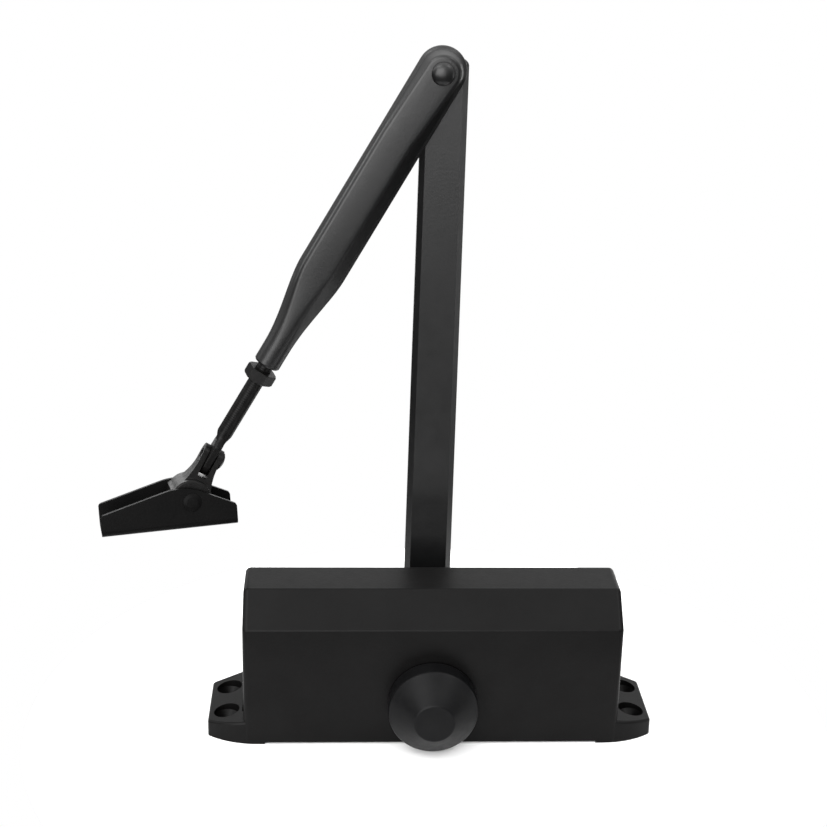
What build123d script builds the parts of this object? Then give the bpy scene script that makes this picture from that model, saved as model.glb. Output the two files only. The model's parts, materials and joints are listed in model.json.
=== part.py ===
from build123d import *

import os
from math import acos, cos, pi, radians, sin, sqrt, tan

# Overhead door closer with a regular two-piece arm. All lengths are millimetres.
#
# Frame: the origin is the centre of the four fixing holes, on the face that sits against the door.
# +X runs along the body, +Z points away from the door, and the arm is on the +Y side.
# The pinion turns about a line along Y. The arm is drawn upright, at the start of its travel.

# ---------------------------------------------------------------- driving dimensions

# Body casting
BODY_LENGTH = 151.2
BODY_DEPTH = 44.6
BODY_HEIGHT = 63.3
BODY_CHAMFER = 12.3
BODY_FOOT = 0.8  # the casting stands this far off the door between its ears
EDGE_ROUND = 1.4
END_ROUND = 2.2
EAR_REACH = 90.3  # from the middle of the body to the end of an ear
EAR_ROOT = 67.0
EAR_TIP_HEIGHT = 6.8
EAR_SLOPE = 10.5  # degrees, up towards the body
EAR_FRONT_START = 70.0
EAR_FRONT_Y = -15.2
EAR_REAR_START = 76.0
EAR_REAR_Y = 16.0
EAR_ROUND = 1.0

# Fixing holes
FIXING_X = 166.0
FIXING_Y = 19.0
FIXING_R = 2.9
FIXING_HEAD_R = 5.2
FIXING_SEAT_Z = 5.6  # where the screw head's cone starts

# Main bore, its plugs and their rings
BORE_R = 18.0
BORE_Z = 24.4
PLUG_R = 19.5
PLUG_BORE_DEPTH = 13.0
PLUG_SET_BACK = 0.8
PLUG_LENGTH = 12.0
PLUG_EDGE = 0.8
PLUG_SOCKET_FLATS = 14.0
PLUG_SOCKET_DEPTH = 5.0
RING_WIRE = 0.9
RING_GROOVE_DEPTH = 2.0
RING_GROOVE_WIDTH = 2.2
RING_GROOVE_AT = 2.5  # from the plug's inner end

# Pinion line and gear
PINION_Z = 19.5
MODULE = 1.8
TEETH = 10
PRESSURE_ANGLE = 25.0
GEAR_HALF_WIDTH = 8.5
ROOT_CLEARANCE = 0.45
BACKLASH = 0.24

# Pinion shaft, bearings and seals
JOURNAL_R = 7.47
BEARING_BORE_R = 7.5
BEARING_R = 13.5
BEARING_Y = (12.0, 19.0)
SEAL_Y = (19.0, 21.9)
COLLAR_R = 10.0
SQUARE = 10.4
SQUARE_ROUND = 0.9
SQUARE_FRONT_Y = 33.0
COVER_R = 17.0
COVER_THICK = 0.6
COVER_SPIGOT = 1.8  # how far the collar's floor stands off the casting

# Piston
PISTON_X = (-22.0, 49.0)
WINDOW_X = (-14.0, 41.0)
WINDOW_TOP = 33.5
RACK_HALF_WIDTH = 8.0
PISTON_R = 17.96
CHECK_R = 1.6
CHECK_SEAT_R = 3.2
CHECK_DEPTH = 5.5
CHECK_BALL_R = 2.5
CHECK_RETAINER = 0.9
CHECK_DROP = 8.0  # below the middle of the bore

# Closing spring
SPRING_R = 13.5
SPRING_WIRE = 3.2
SPRING_COILS = 5.5
SPRING_CUP_R = 16.2
SPRING_CUP_DEPTH = 6.0

# Valves in the right end
VALVE_Y = 8.0
VALVE_Z = 50.9
VALVE_HEAD_R = 4.4
VALVE_HEAD_LENGTH = 5.9
VALVE_SHANK_R = 2.95
VALVE_SHANK_LENGTH = 14.6
VALVE_NEEDLE_LENGTH = 5.5
VALVE_SET_BACK = 1.0
VALVE_RING_AT = 6.6  # from under the head to the far side of the ring groove
VALVE_RING_WIDTH = 1.4
VALVE_RING_WIRE = 0.46
OIL_WAY_R = 1.5
PORT_R = 1.2
OIL_WAY_END = -35.0

# Pinion cap
CAP_R = 17.9
CAP_RIM_Y = 23.0
CAP_CONE_Y = 31.0
CAP_FLAT_Y = 40.0
CAP_FLAT_R = 7.8
CAP_WALL = 2.0
CAP_SHOULDER = 1.2  # from the start of the outer cone back to the start of the inner one
CARRIER_R = 15.4
CARRIER_WALL = 2.6
CARRIER_REACH = 29.6

# Arms
ARM_Y = (34.0, 39.5)
ARM_LENGTH = 241.65  # up the bar, from the pinion to the elbow
ARM_HOLE_X = -1.58  # the elbow hole sits this far off the bar's centre line
ARM_LEAN = 0.47  # degrees from upright, towards +X
ARM_HALF_FOOT = 9.9
ARM_HALF_HEAD = 9.0
ARM_EYE_R = 12.0
ARM_HEAD_REACH = 6.2
ARM_HEAD_CLIP = (6.4, 3.2)  # the sloping cut at each corner of the head, across and up
ARM_HEAD_ROUND = 2.6
ARM_BEVEL = 2.2
ARM_REAR_BEVEL = 0.8
ARM_SCREW_R = 2.95
ARM_SCREW_FLATS = 10.0
ARM_SCREW_HEAD = 4.0
ARM_SCREW_LENGTH = 13.0
ARM_WASHER_R = 9.0
ARM_WASHER_THICK = 1.6

FOREARM_Y = (24.5, 33.2)
FOREARM_ANGLE = 30.05  # degrees from straight down, towards -X
FOREARM_HALF = 9.8
FOREARM_EYE_R = 9.6
FOREARM_FACE_HALF = 4.4
FOREARM_FLANGE = 1.0  # how far the small flange stands out from the foot of the slope
FOREARM_STRAIGHT = 90.4
FOREARM_TAPER_END = 126.6
FOREARM_END = 134.9
FOREARM_TAPER_STEPS = 4  # flat lengths that make up the taper
SOCKET_R = 5.45
RIVET_R = 4.0
RIVET_HEAD_R = 4.4
RIVET_HEAD_HEIGHT = 3.0
RIVET_SEAT_R = 6.2  # flat ring on the forearm under the rivet head
RIVET_TAIL_R = 5.6
RIVET_TAIL_HEIGHT = 2.2
ELBOW_WASHER_R = 7.4

# Adjusting rod and lock nut, measured along the forearm from the elbow
ROD_R = 3.25
ROD_START = 98.0
ROD_FLAT_START = 170.45
ROD_TURN = 3.6  # degrees about the forearm's line
CROSS_PIN_AT = 181.48
TONGUE_HALF = 1.85
TONGUE_R = 5.0
TONGUE_REACH = 8.0  # from the cross pin to the tongue's end
NUT_FLATS = 11.0
NUT_THICK = 4.6
NUT_CHAMFER = 0.5
NUT_AT = 140.1  # the middle of the nut
NUT_TURN = -10.0  # degrees about the forearm's line

# Knuckle and shoe
KNUCKLE_SWIVEL = -15.0  # degrees about the cross pin
KNUCKLE_DROP = 18.4  # from the cross pin to the shoe pin
BARREL_R = 8.4
BARREL_HALF = 10.5
FOOT_HALF = 9.2
FORK_HALF = 4.1
FORK_DEPTH_HALF = 4.5
FORK_WAIST = 5.3  # half width half way down to the barrel
FORK_WAIST_HEIGHT = 8.0  # above the shoe pin
FORK_WAIST_SPREAD = 1.6  # how much deeper the fork is at its waist
FORK_STRAIGHT_Z = -3.5  # below the cross pin, where the fork's sides become straight
SLOT_HALF = 2.0
SLOT_FLOOR = 9.8  # above the shoe pin
SLOT_ROUND = 0.4
CROSS_PIN_R = 2.0
CROSS_HEAD_R = 3.8
CROSS_HEAD_HEIGHT = 1.6

SHOE_ANGLE = -32.6  # degrees about the shoe pin
SHOE_LEFT = 36.5
SHOE_RIGHT = 17.9
SHOE_HALF = 13.0
SHOE_SHEET = 2.2
SHOE_DROP = 10.8  # from the shoe pin to the face on the door frame
SHOE_LEFT_HEIGHT = 8.8
SHOE_RIGHT_HEIGHT = 8.4
SHOE_PEAK = (-2.6, 18.1)  # where the two slopes of a flange would meet
SHOE_PEAK_ROUND = 22.0
SHOE_CORNER_ROUND = 1.6
SHOE_BEND_OUTER = 2.6  # bend between the web and a flange
SHOE_BEND_INNER = 0.8
SHOE_PIN_R = 3.0
SHOE_PIN_HEAD_R = 3.8
SHOE_PIN_HEAD = 0.8  # low riveted head
SHOE_HOLE_X = (-26.0, 13.4)
SHOE_HOLE_R = 2.6
SHOE_HOLE_HEAD_R = 4.3

FIT = 0.05  # radial clearance of a turning fit
SNUG = 0.03  # gap between pieces that are pressed or screwed together

# ---------------------------------------------------------------- derived dimensions

HALF_LENGTH = BODY_LENGTH / 2
HALF_DEPTH = BODY_DEPTH / 2
PITCH_R = MODULE * TEETH / 2
TIP_R = PITCH_R + MODULE
ROOT_R = PITCH_R - MODULE * 1.25
BASE_R = PITCH_R * cos(radians(PRESSURE_ANGLE))
PITCH_LINE_Z = PINION_Z + PITCH_R
FOREARM_MID_Y = (FOREARM_Y[0] + FOREARM_Y[1]) / 2
CHECK_Z = BORE_Z - CHECK_DROP
VALVE_HEAD_X = HALF_LENGTH - VALVE_SET_BACK
VALVE_STEP_X = VALVE_HEAD_X - VALVE_HEAD_LENGTH
VALVE_SHANK_END_X = VALVE_STEP_X - VALVE_SHANK_LENGTH

AT_ARM = Pos(0, 0, PINION_Z) * Rot(0, ARM_LEAN, 0)
LEAN_SIN = sin(radians(ARM_LEAN))
LEAN_COS = cos(radians(ARM_LEAN))
ELBOW_X = ARM_LENGTH * LEAN_SIN + ARM_HOLE_X * LEAN_COS
ELBOW_Z = PINION_Z + ARM_LENGTH * LEAN_COS - ARM_HOLE_X * LEAN_SIN
AT_FOREARM = Pos(ELBOW_X, 0, ELBOW_Z) * Rot(0, FOREARM_ANGLE, 0)
AT_ROD = AT_FOREARM * Pos(0, FOREARM_MID_Y, 0) * Rot(0, 0, ROD_TURN)
AT_CROSS_PIN = AT_ROD * Pos(0, 0, -CROSS_PIN_AT) * Rot(KNUCKLE_SWIVEL, 0, 0)
AT_SHOE_PIN = AT_CROSS_PIN * Pos(0, 0, -KNUCKLE_DROP)
AT_SHOE = AT_SHOE_PIN * Rot(0, SHOE_ANGLE, 0)


# ---------------------------------------------------------------- helpers

def block(x, y, z):
    """A box between two x, two y and two z values."""
    centre = Pos((x[0] + x[1]) / 2, (y[0] + y[1]) / 2, (z[0] + z[1]) / 2)
    return centre * Box(x[1] - x[0], y[1] - y[0], z[1] - z[0])


def rod_x(radius, x0, x1, y=0.0, z=0.0):
    """A cylinder along X."""
    return Pos((x0 + x1) / 2, y, z) * Rot(0, 90, 0) * Cylinder(radius, abs(x1 - x0))


def rod_y(radius, y0, y1, x=0.0, z=0.0):
    """A cylinder along Y."""
    return Pos(x, (y0 + y1) / 2, z) * Rot(90, 0, 0) * Cylinder(radius, abs(y1 - y0))


def rod_z(radius, z0, z1, x=0.0, y=0.0):
    """A cylinder along Z."""
    return Pos(x, y, (z0 + z1) / 2) * Cylinder(radius, abs(z1 - z0))


def turned_y(points, z=0.0):
    """A solid of revolution about a line along Y, from (radius, y) points."""
    outline = make_face(Polyline(*[(r, y) for r, y in points], close=True))
    return Pos(0, 0, z) * revolve(outline, Axis.Y, 360)


def turned_x(points, y=0.0, z=0.0):
    """A solid of revolution about a line along X, from (x, radius) points."""
    outline = make_face(Polyline(*[(x, r) for x, r in points], close=True))
    return Pos(0, y, z) * revolve(outline, Axis.X, 360)


def ring_x(radius, wire, x, y=0.0, z=0.0):
    """A round sealing ring that lies across X."""
    return Pos(x, y, z) * Rot(0, 90, 0) * Torus(radius, wire)


def prism_y(outline, y0, y1):
    """An XZ outline, given as a face on the XY plane, stretched from y0 to y1."""
    return Pos(0, y1, 0) * Rot(90, 0, 0) * extrude(outline, amount=y1 - y0)


def hexagon_rod(flats, length):
    """A hexagonal bar along Z, centred."""
    return extrude(RegularPolygon(flats / sqrt(3), 6), amount=length / 2, both=True)


# ---------------------------------------------------------------- body

def ear_plan():
    """The right ear seen from above, from inside the body to the ear's end."""
    return make_face([
        Line((EAR_ROOT, -HALF_DEPTH), (EAR_FRONT_START, -HALF_DEPTH)),
        TangentArc((EAR_FRONT_START, -HALF_DEPTH), (EAR_REACH, EAR_FRONT_Y), tangent=(1, 0)),
        Line((EAR_REACH, EAR_FRONT_Y), (EAR_REACH, EAR_REAR_Y)),
        Line((EAR_REACH, EAR_REAR_Y), (EAR_REAR_START, HALF_DEPTH)),
        Line((EAR_REAR_START, HALF_DEPTH), (EAR_ROOT, HALF_DEPTH)),
        Line((EAR_ROOT, HALF_DEPTH), (EAR_ROOT, -HALF_DEPTH)),
    ])


def ear():
    """The right ear: its top slopes up towards the body, and its edges are rounded."""
    plan = ear_plan()
    corners = plan.vertices().filter_by_position(Axis.X, EAR_REACH - 1, EAR_REACH + 1)
    plan = fillet(corners, EAR_ROUND * 2)
    rise = (EAR_REACH - EAR_ROOT) * tan(radians(EAR_SLOPE))
    wedge = make_face(Polyline(
        (EAR_ROOT, 0), (EAR_REACH, 0), (EAR_REACH, EAR_TIP_HEIGHT),
        (EAR_ROOT, EAR_TIP_HEIGHT + rise), close=True))
    solid = extrude(plan, amount=BODY_HEIGHT / 2) & prism_y(wedge, -HALF_DEPTH, HALF_DEPTH)
    top = solid.faces().sort_by(Axis.Z)[-1]
    rim = [e for e in top.edges() if e.center().X > EAR_ROOT + 1]
    return fillet(rim, EAR_ROUND)


def fixing_hole(x, y):
    """One screw hole: a pocket for the head, a cone under it and the hole itself."""
    cone = FIXING_HEAD_R - FIXING_R
    hole = rod_z(FIXING_R, -1, FIXING_SEAT_Z, x, y)
    hole += Pos(x, y, FIXING_SEAT_Z - cone / 2) * Cone(FIXING_R, FIXING_HEAD_R, cone)
    return hole + rod_z(FIXING_HEAD_R, FIXING_SEAT_Z, BODY_HEIGHT / 4, x, y)


def valve_drilling(y):
    """The stepped hole of one valve, and the small ports down from it to the main bore."""
    step = VALVE_STEP_X - SNUG
    needle_seat = VALVE_SHANK_END_X - VALVE_NEEDLE_LENGTH / 2
    hole = rod_x(VALVE_HEAD_R + FIT * 2, step, HALF_LENGTH + 1, y, VALVE_Z)
    hole += rod_x(VALVE_SHANK_R + FIT, needle_seat, step, y, VALVE_Z)
    hole += rod_x(OIL_WAY_R, OIL_WAY_END, needle_seat, y, VALVE_Z)
    for x in (OIL_WAY_END + 3, PISTON_X[1] / 2 + y, VALVE_SHANK_END_X):
        hole += rod_z(PORT_R, BORE_Z + BORE_R - 4, VALVE_Z, x, y)
    return hole


def body_casting():
    """The casting: a deep chamfered bar with ears, bored for the piston and the pinion."""
    flat = HALF_DEPTH - BODY_CHAMFER
    crease = BODY_HEIGHT - BODY_CHAMFER
    section = make_face(Polyline(
        (-HALF_DEPTH, BODY_FOOT), (HALF_DEPTH, BODY_FOOT), (HALF_DEPTH, crease),
        (flat, BODY_HEIGHT), (-flat, BODY_HEIGHT), (-HALF_DEPTH, crease), close=True))
    section = fillet(section.vertices().group_by(Axis.Y)[-2:][0], EDGE_ROUND)
    section = fillet(section.vertices().group_by(Axis.Y)[-1], EDGE_ROUND)
    bar = extrude(Plane.YZ * section, amount=HALF_LENGTH, both=True)
    for end in (0, -1):
        rim = bar.faces().sort_by(Axis.X)[end].edges()
        bar = fillet([e for e in rim if e.center().Z > BODY_FOOT + 1], END_ROUND)
    right_ear = ear()
    body = bar + right_ear + mirror(right_ear, Plane.YZ)

    body -= rod_x(BORE_R, -HALF_LENGTH - 1, HALF_LENGTH + 1, z=BORE_Z)
    for side in (-1, 1):
        inner = side * (HALF_LENGTH - PLUG_BORE_DEPTH)
        body -= rod_x(PLUG_R, inner, side * (HALF_LENGTH + 1), z=BORE_Z)
        body -= valve_drilling(side * VALVE_Y)
        for y in (-FIXING_Y / 2, FIXING_Y / 2):
            body -= fixing_hole(side * FIXING_X / 2, y)
    body -= rod_y(BEARING_R, -HALF_DEPTH - 1, HALF_DEPTH + 1, z=PINION_Z)
    return body


def end_plug(side):
    """A screwed plug with a hexagon socket and a ring groove; side is -1 (spring) or 1 (valves)."""
    outer = HALF_LENGTH - PLUG_SET_BACK
    inner = outer - PLUG_LENGTH
    radius = PLUG_R - SNUG
    edge = radius - PLUG_EDGE
    groove = inner + RING_GROOVE_AT
    groove_end = groove + RING_GROOVE_WIDTH
    groove_r = radius - RING_GROOVE_DEPTH
    plug = turned_x([
        (inner, 0), (inner, edge), (inner + PLUG_EDGE, radius), (groove, radius),
        (groove, groove_r), (groove_end, groove_r), (groove_end, radius),
        (outer - PLUG_EDGE, radius), (outer, edge), (outer, 0)])
    plug -= Pos(outer, 0, 0) * Rot(0, 90, 0) * hexagon_rod(PLUG_SOCKET_FLATS, PLUG_SOCKET_DEPTH * 2)
    if side < 0:
        plug -= rod_x(SPRING_CUP_R, inner - 1, inner + SPRING_CUP_DEPTH)
        plug = mirror(plug, Plane.YZ)
    return Pos(0, 0, BORE_Z) * plug


def plug_ring(side):
    """The sealing ring in a plug's groove."""
    inner = HALF_LENGTH - PLUG_SET_BACK - PLUG_LENGTH
    middle = inner + RING_GROOVE_AT + RING_GROOVE_WIDTH / 2
    return ring_x(PLUG_R - RING_WIRE - SNUG * 2, RING_WIRE, side * middle, z=BORE_Z)


def bearing(side):
    """A plain bush for the pinion, pressed into the casting."""
    inner, outer = BEARING_Y
    radius = BEARING_R - SNUG
    bush = turned_y([
        (BEARING_BORE_R, inner), (radius - 0.6, inner), (radius, inner + 0.6), (radius, outer),
        (BEARING_BORE_R, outer)], z=PINION_Z)
    return bush if side > 0 else mirror(bush, Plane.XZ)


def seal(side):
    """A lip seal: a ring with a groove in its outer face."""
    inner, outer = SEAL_Y
    lip = JOURNAL_R + FIT
    radius = BEARING_R - SNUG
    ring = turned_y([
        (lip, inner + SNUG), (radius, inner + SNUG), (radius, outer), (radius - 1.6, outer),
        (radius - 2.0, outer - 1.2), (lip + 1.6, outer - 1.2), (lip + 1.2, outer), (lip, outer)],
        z=PINION_Z)
    return ring if side > 0 else mirror(ring, Plane.XZ)


def cap_carrier():
    """The front cover ring, with the collar that the plastic cap is pushed onto."""
    face = HALF_DEPTH + SNUG
    rim = face + COVER_THICK
    floor = face + COVER_SPIGOT
    bore = BEARING_BORE_R + 0.3
    inner = CARRIER_R - CARRIER_WALL
    return turned_y([
        (bore, -face), (COVER_R, -face), (COVER_R, -rim), (CARRIER_R, -rim),
        (CARRIER_R, -CARRIER_REACH + 0.6), (CARRIER_R - 0.6, -CARRIER_REACH), (inner, -CARRIER_REACH),
        (inner, -floor), (bore, -floor)], z=PINION_Z)


def rear_cover_ring():
    """The thin ring that covers the rear bearing."""
    face = HALF_DEPTH + SNUG
    bore = BEARING_BORE_R + 0.3
    top = face + 1.6
    return turned_y([
        (bore, face), (COVER_R, face), (COVER_R, top - 0.6), (COVER_R - 0.6, top), (bore, top)],
        z=PINION_Z)


def pinion_cap():
    """The hollow plastic cap: a short drum with a steep cone and a small flat."""
    inner = CARRIER_R + SNUG
    shoulder = CAP_CONE_Y - CAP_SHOULDER
    top = CAP_FLAT_Y - CAP_WALL
    outline = [
        (CAP_R - 0.4, -CAP_RIM_Y), (CAP_R, -CAP_RIM_Y - 0.4), (CAP_R, -CAP_CONE_Y),
        (CAP_FLAT_R, -CAP_FLAT_Y), (0, -CAP_FLAT_Y), (0, -top), (CAP_FLAT_R - 1.2, -top),
        (inner, -shoulder), (inner, -CAP_RIM_Y)]
    return turned_y(outline, z=PINION_Z)


def main_spring():
    """The closing spring between the left plug and the piston, with its ends ground flat."""
    left = -(HALF_LENGTH - PLUG_SET_BACK - PLUG_LENGTH + SPRING_CUP_DEPTH) + SNUG
    right = PISTON_X[0] - SNUG
    length = right - left
    pitch = (length + SPRING_WIRE) / SPRING_COILS
    path = Helix(pitch=pitch, height=length + SPRING_WIRE, radius=SPRING_R)
    start = Plane(path @ 0, z_dir=path % 0)
    coil = sweep(start * Circle(SPRING_WIRE / 2), path=path, is_frenet=True)
    coil = Pos(0, 0, -SPRING_WIRE / 2) * coil
    coil &= Pos(0, 0, length / 2) * Cylinder(SPRING_R * 2, length)
    return Pos(left, 0, BORE_Z) * Rot(0, 90, 0) * coil


def valve_screw(y):
    """One speed adjusting screw: slotted head, shank with a ring groove, and a needle."""
    needle = VALVE_SHANK_END_X - VALVE_NEEDLE_LENGTH
    groove = VALVE_STEP_X - VALVE_RING_AT
    groove_r = VALVE_SHANK_R - 1.0
    screw = turned_x([
        (needle, 0), (needle, 0.5), (VALVE_SHANK_END_X - 1, 1.3), (VALVE_SHANK_END_X, VALVE_SHANK_R),
        (groove, VALVE_SHANK_R), (groove, groove_r), (groove + VALVE_RING_WIDTH, groove_r),
        (groove + VALVE_RING_WIDTH, VALVE_SHANK_R), (VALVE_STEP_X, VALVE_SHANK_R),
        (VALVE_STEP_X, VALVE_HEAD_R), (VALVE_HEAD_X - 0.5, VALVE_HEAD_R),
        (VALVE_HEAD_X, VALVE_HEAD_R - 0.5), (VALVE_HEAD_X, 0)])
    slot_y = (-VALVE_HEAD_R - 1, VALVE_HEAD_R + 1)
    screw -= block((VALVE_HEAD_X - 1.6, VALVE_HEAD_X + 1), slot_y, (-0.6, 0.6))
    return Pos(0, y, VALVE_Z) * screw


def valve_ring(y):
    """The sealing ring in a valve's groove."""
    middle = VALVE_STEP_X - VALVE_RING_AT + VALVE_RING_WIDTH / 2
    return ring_x(VALVE_SHANK_R - 0.5, VALVE_RING_WIRE, middle, y, VALVE_Z)


# ---------------------------------------------------------------- pinion and piston

def involute(angle):
    """The difference between an angle's tangent and the angle itself, in radians."""
    return tan(angle) - angle


def tooth_flank(steps=7):
    """(radius, half thickness angle) along one flank, from the base circle to the tip."""
    at_pitch = pi / (2 * TEETH) + involute(radians(PRESSURE_ANGLE))
    flank = []
    for i in range(steps):
        radius = BASE_R + (TIP_R - BASE_R) * (i / (steps - 1)) ** 1.5
        flank.append((radius, at_pitch - involute(acos(min(1.0, BASE_R / radius)))))
    return flank


def gear_outline():
    """The pinion's toothed outline, with a tooth space straight up."""
    points = []
    flank = tooth_flank()
    pitch = 2 * pi / TEETH
    for tooth in range(TEETH):
        centre = pi / 2 + pitch * (tooth + 0.5)
        rising = [(ROOT_R, flank[0][1])] + flank
        for radius, half in rising:
            points.append((radius * cos(centre - half), radius * sin(centre - half)))
        for radius, half in reversed(rising):
            points.append((radius * cos(centre + half), radius * sin(centre + half)))
    return make_face(Polyline(*points, close=True))


def pinion_shaft():
    """Gear, thrust collars, journals and the two square ends, in one piece."""
    reach = ARM_Y[1] - 0.2
    shaft = turned_y([
        (0, -HALF_DEPTH - 2.4), (JOURNAL_R - 0.6, -HALF_DEPTH - 2.4), (JOURNAL_R, -HALF_DEPTH - 1.8),
        (JOURNAL_R, -BEARING_Y[0] + 0.1), (COLLAR_R, -BEARING_Y[0] + 0.1),
        (COLLAR_R, -GEAR_HALF_WIDTH), (COLLAR_R - 3.3, -GEAR_HALF_WIDTH),
        (COLLAR_R - 3.3, GEAR_HALF_WIDTH), (COLLAR_R, GEAR_HALF_WIDTH),
        (COLLAR_R, BEARING_Y[0] - 0.1), (JOURNAL_R, BEARING_Y[0] - 0.1),
        (JOURNAL_R, ARM_Y[0] - 0.7), (JOURNAL_R - 0.6, ARM_Y[0] - SNUG), (0, ARM_Y[0] - SNUG)])
    shaft += prism_y(gear_outline(), -GEAR_HALF_WIDTH, GEAR_HALF_WIDTH)
    square = block((-SQUARE / 2, SQUARE / 2), (-SQUARE_FRONT_Y, reach), (-SQUARE / 2, SQUARE / 2))
    square = fillet(square.edges().filter_by(Axis.Y), SQUARE_ROUND)
    shaft += Rot(0, ARM_LEAN, 0) * square
    shaft -= rod_y(ARM_SCREW_R + SNUG, reach - ARM_SCREW_LENGTH, reach + 1)
    return Pos(0, 0, PINION_Z) * shaft


def rack_tooth(x):
    """One rack tooth that points down into the pinion."""
    lean = tan(radians(PRESSURE_ANGLE))
    addendum = MODULE * 0.8
    dedendum = MODULE + ROOT_CLEARANCE
    half = (pi * MODULE / 2 - BACKLASH) / 2
    tip = half - addendum * lean
    root = half + dedendum * lean
    outline = make_face(Polyline(
        (x - tip, PITCH_LINE_Z - addendum), (x + tip, PITCH_LINE_Z - addendum),
        (x + root, PITCH_LINE_Z + dedendum), (x + root, WINDOW_TOP),
        (x - root, WINDOW_TOP), (x - root, PITCH_LINE_Z + dedendum), close=True))
    return prism_y(outline, -RACK_HALF_WIDTH, RACK_HALF_WIDTH)


def piston():
    """The piston: a cylinder with an open window, and the rack along the window's roof."""
    left, right = PISTON_X
    barrel = rod_x(PISTON_R, left, right, z=BORE_Z)
    barrel = chamfer(barrel.edges().filter_by(GeomType.CIRCLE), 0.8)
    barrel -= block(WINDOW_X, (-PISTON_R - 1, PISTON_R + 1), (0, WINDOW_TOP))
    root_z = PITCH_LINE_Z + MODULE + ROOT_CLEARANCE
    barrel += block(WINDOW_X, (-RACK_HALF_WIDTH, RACK_HALF_WIDTH), (root_z, WINDOW_TOP + 0.5))
    pitch = pi * MODULE
    for k in range(-1, 7):
        barrel += rack_tooth(k * pitch)
    barrel -= rod_x(CHECK_R, WINDOW_X[1] - 1, right + 1, z=CHECK_Z)
    barrel -= rod_x(CHECK_SEAT_R, right - CHECK_DEPTH, right + 1, z=CHECK_Z)
    return barrel


def check_ball():
    """The ball of the piston's one-way valve, on its seat."""
    lift = sqrt(CHECK_BALL_R ** 2 - CHECK_R ** 2)
    return Pos(PISTON_X[1] - CHECK_DEPTH + lift + SNUG, 0, CHECK_Z) * Sphere(CHECK_BALL_R)


def check_retainer():
    """The pressed ring that keeps the ball in."""
    right = PISTON_X[1]
    ring = rod_x(CHECK_SEAT_R - SNUG, right - CHECK_RETAINER, right, z=CHECK_Z)
    return ring - rod_x(CHECK_R, right - 2, right + 1, z=CHECK_Z)


# ---------------------------------------------------------------- main arm

def main_arm():
    """Flat bar with a clipped head, a round eye for the pinion's square, and bevelled edges."""
    top = ARM_LENGTH + ARM_HEAD_REACH
    shoulder = top - ARM_HEAD_CLIP[1]
    half_top = ARM_HALF_HEAD - ARM_HEAD_CLIP[0]
    bar = make_face(Polyline(
        (-ARM_HALF_FOOT, 0), (ARM_HALF_FOOT, 0), (ARM_HALF_HEAD, shoulder), (half_top, top),
        (-half_top, top), (-ARM_HALF_HEAD, shoulder), close=True))
    head = bar.vertices().filter_by_position(Axis.Y, shoulder - 1, top + 1)
    bar = fillet(head, ARM_HEAD_ROUND)
    plan = bar + Circle(ARM_EYE_R)
    arm = prism_y(plan, *ARM_Y)
    front = arm.faces().sort_by(Axis.Y)[0].outer_wire().edges()
    arm = chamfer(front, ARM_BEVEL)
    rear = arm.faces().sort_by(Axis.Y)[-1].outer_wire().edges()
    arm = chamfer(rear, ARM_REAR_BEVEL)
    half = SQUARE / 2 + SNUG
    hole = block((-half, half), (ARM_Y[0] - 1, ARM_Y[1] + 1), (-half, half))
    arm -= fillet(hole.edges().filter_by(Axis.Y), SQUARE_ROUND)
    arm -= rod_y(RIVET_R + SNUG, ARM_Y[0] - 1, ARM_Y[1] + 1, x=ARM_HOLE_X, z=ARM_LENGTH)
    return AT_ARM * arm


def arm_washer():
    """The washer under the arm screw."""
    start = ARM_Y[1] + SNUG
    washer = rod_y(ARM_WASHER_R, start, start + ARM_WASHER_THICK)
    washer -= rod_y(ARM_SCREW_R + 0.3, start - 1, start + ARM_WASHER_THICK + 1)
    return Pos(0, 0, PINION_Z) * washer


def arm_screw():
    """The hexagon screw that holds the main arm on the pinion."""
    seat = ARM_Y[1] + SNUG * 2 + ARM_WASHER_THICK
    top = seat + ARM_SCREW_HEAD
    corner = ARM_SCREW_FLATS / sqrt(3)
    head = Pos(0, (seat + top) / 2, 0) * Rot(90, 0, 0) * hexagon_rod(ARM_SCREW_FLATS, ARM_SCREW_HEAD)
    head &= turned_y([(0, seat), (corner, seat), (corner, top - 0.8), (corner - 0.8, top), (0, top)])
    screw = head + rod_y(ARM_SCREW_R, seat - ARM_SCREW_LENGTH, seat + 0.1)
    return AT_ARM * screw


def elbow_rivet():
    """The rivet through both arms: a domed front head, a shank and a flat rear head."""
    front = FOREARM_Y[0] - 0.1
    rear = ARM_Y[1] + SNUG
    end = rear + RIVET_TAIL_HEIGHT
    dome_r = (RIVET_HEAD_R ** 2 + RIVET_HEAD_HEIGHT ** 2) / (2 * RIVET_HEAD_HEIGHT)
    dome = Pos(0, front - RIVET_HEAD_HEIGHT + dome_r, 0) * Sphere(dome_r)
    dome &= rod_y(RIVET_HEAD_R, front - RIVET_HEAD_HEIGHT - 1, front)
    rivet = dome + rod_y(RIVET_R, front - 0.1, rear + 0.1)
    rivet += turned_y([
        (0, rear), (RIVET_TAIL_R, rear), (RIVET_TAIL_R, rear + 0.8), (RIVET_TAIL_R - 1.6, end),
        (0, end)])
    return Pos(ELBOW_X, 0, ELBOW_Z) * rivet


def elbow_washer():
    """The thin washer between the forearm and the main arm."""
    inner = FOREARM_Y[1] + 0.05
    outer = ARM_Y[0] - SNUG
    washer = rod_y(ELBOW_WASHER_R, inner, outer) - rod_y(RIVET_R + SNUG, inner - 1, outer + 1)
    return Pos(ELBOW_X, 0, ELBOW_Z) * washer


# ---------------------------------------------------------------- forearm

def forearm_half_section(half):
    """Half of the forearm's cross-section, as (distance from the middle, y) points."""
    front, back = FOREARM_Y
    foot = half - FOREARM_FLANGE
    return [
        (FOREARM_FACE_HALF - 0.8, front), (FOREARM_FACE_HALF + 0.3, front + 0.6),
        (foot, back - 2.0), (half, back - 1.5), (half, back - 0.4), (half - 0.4, back)]


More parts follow.
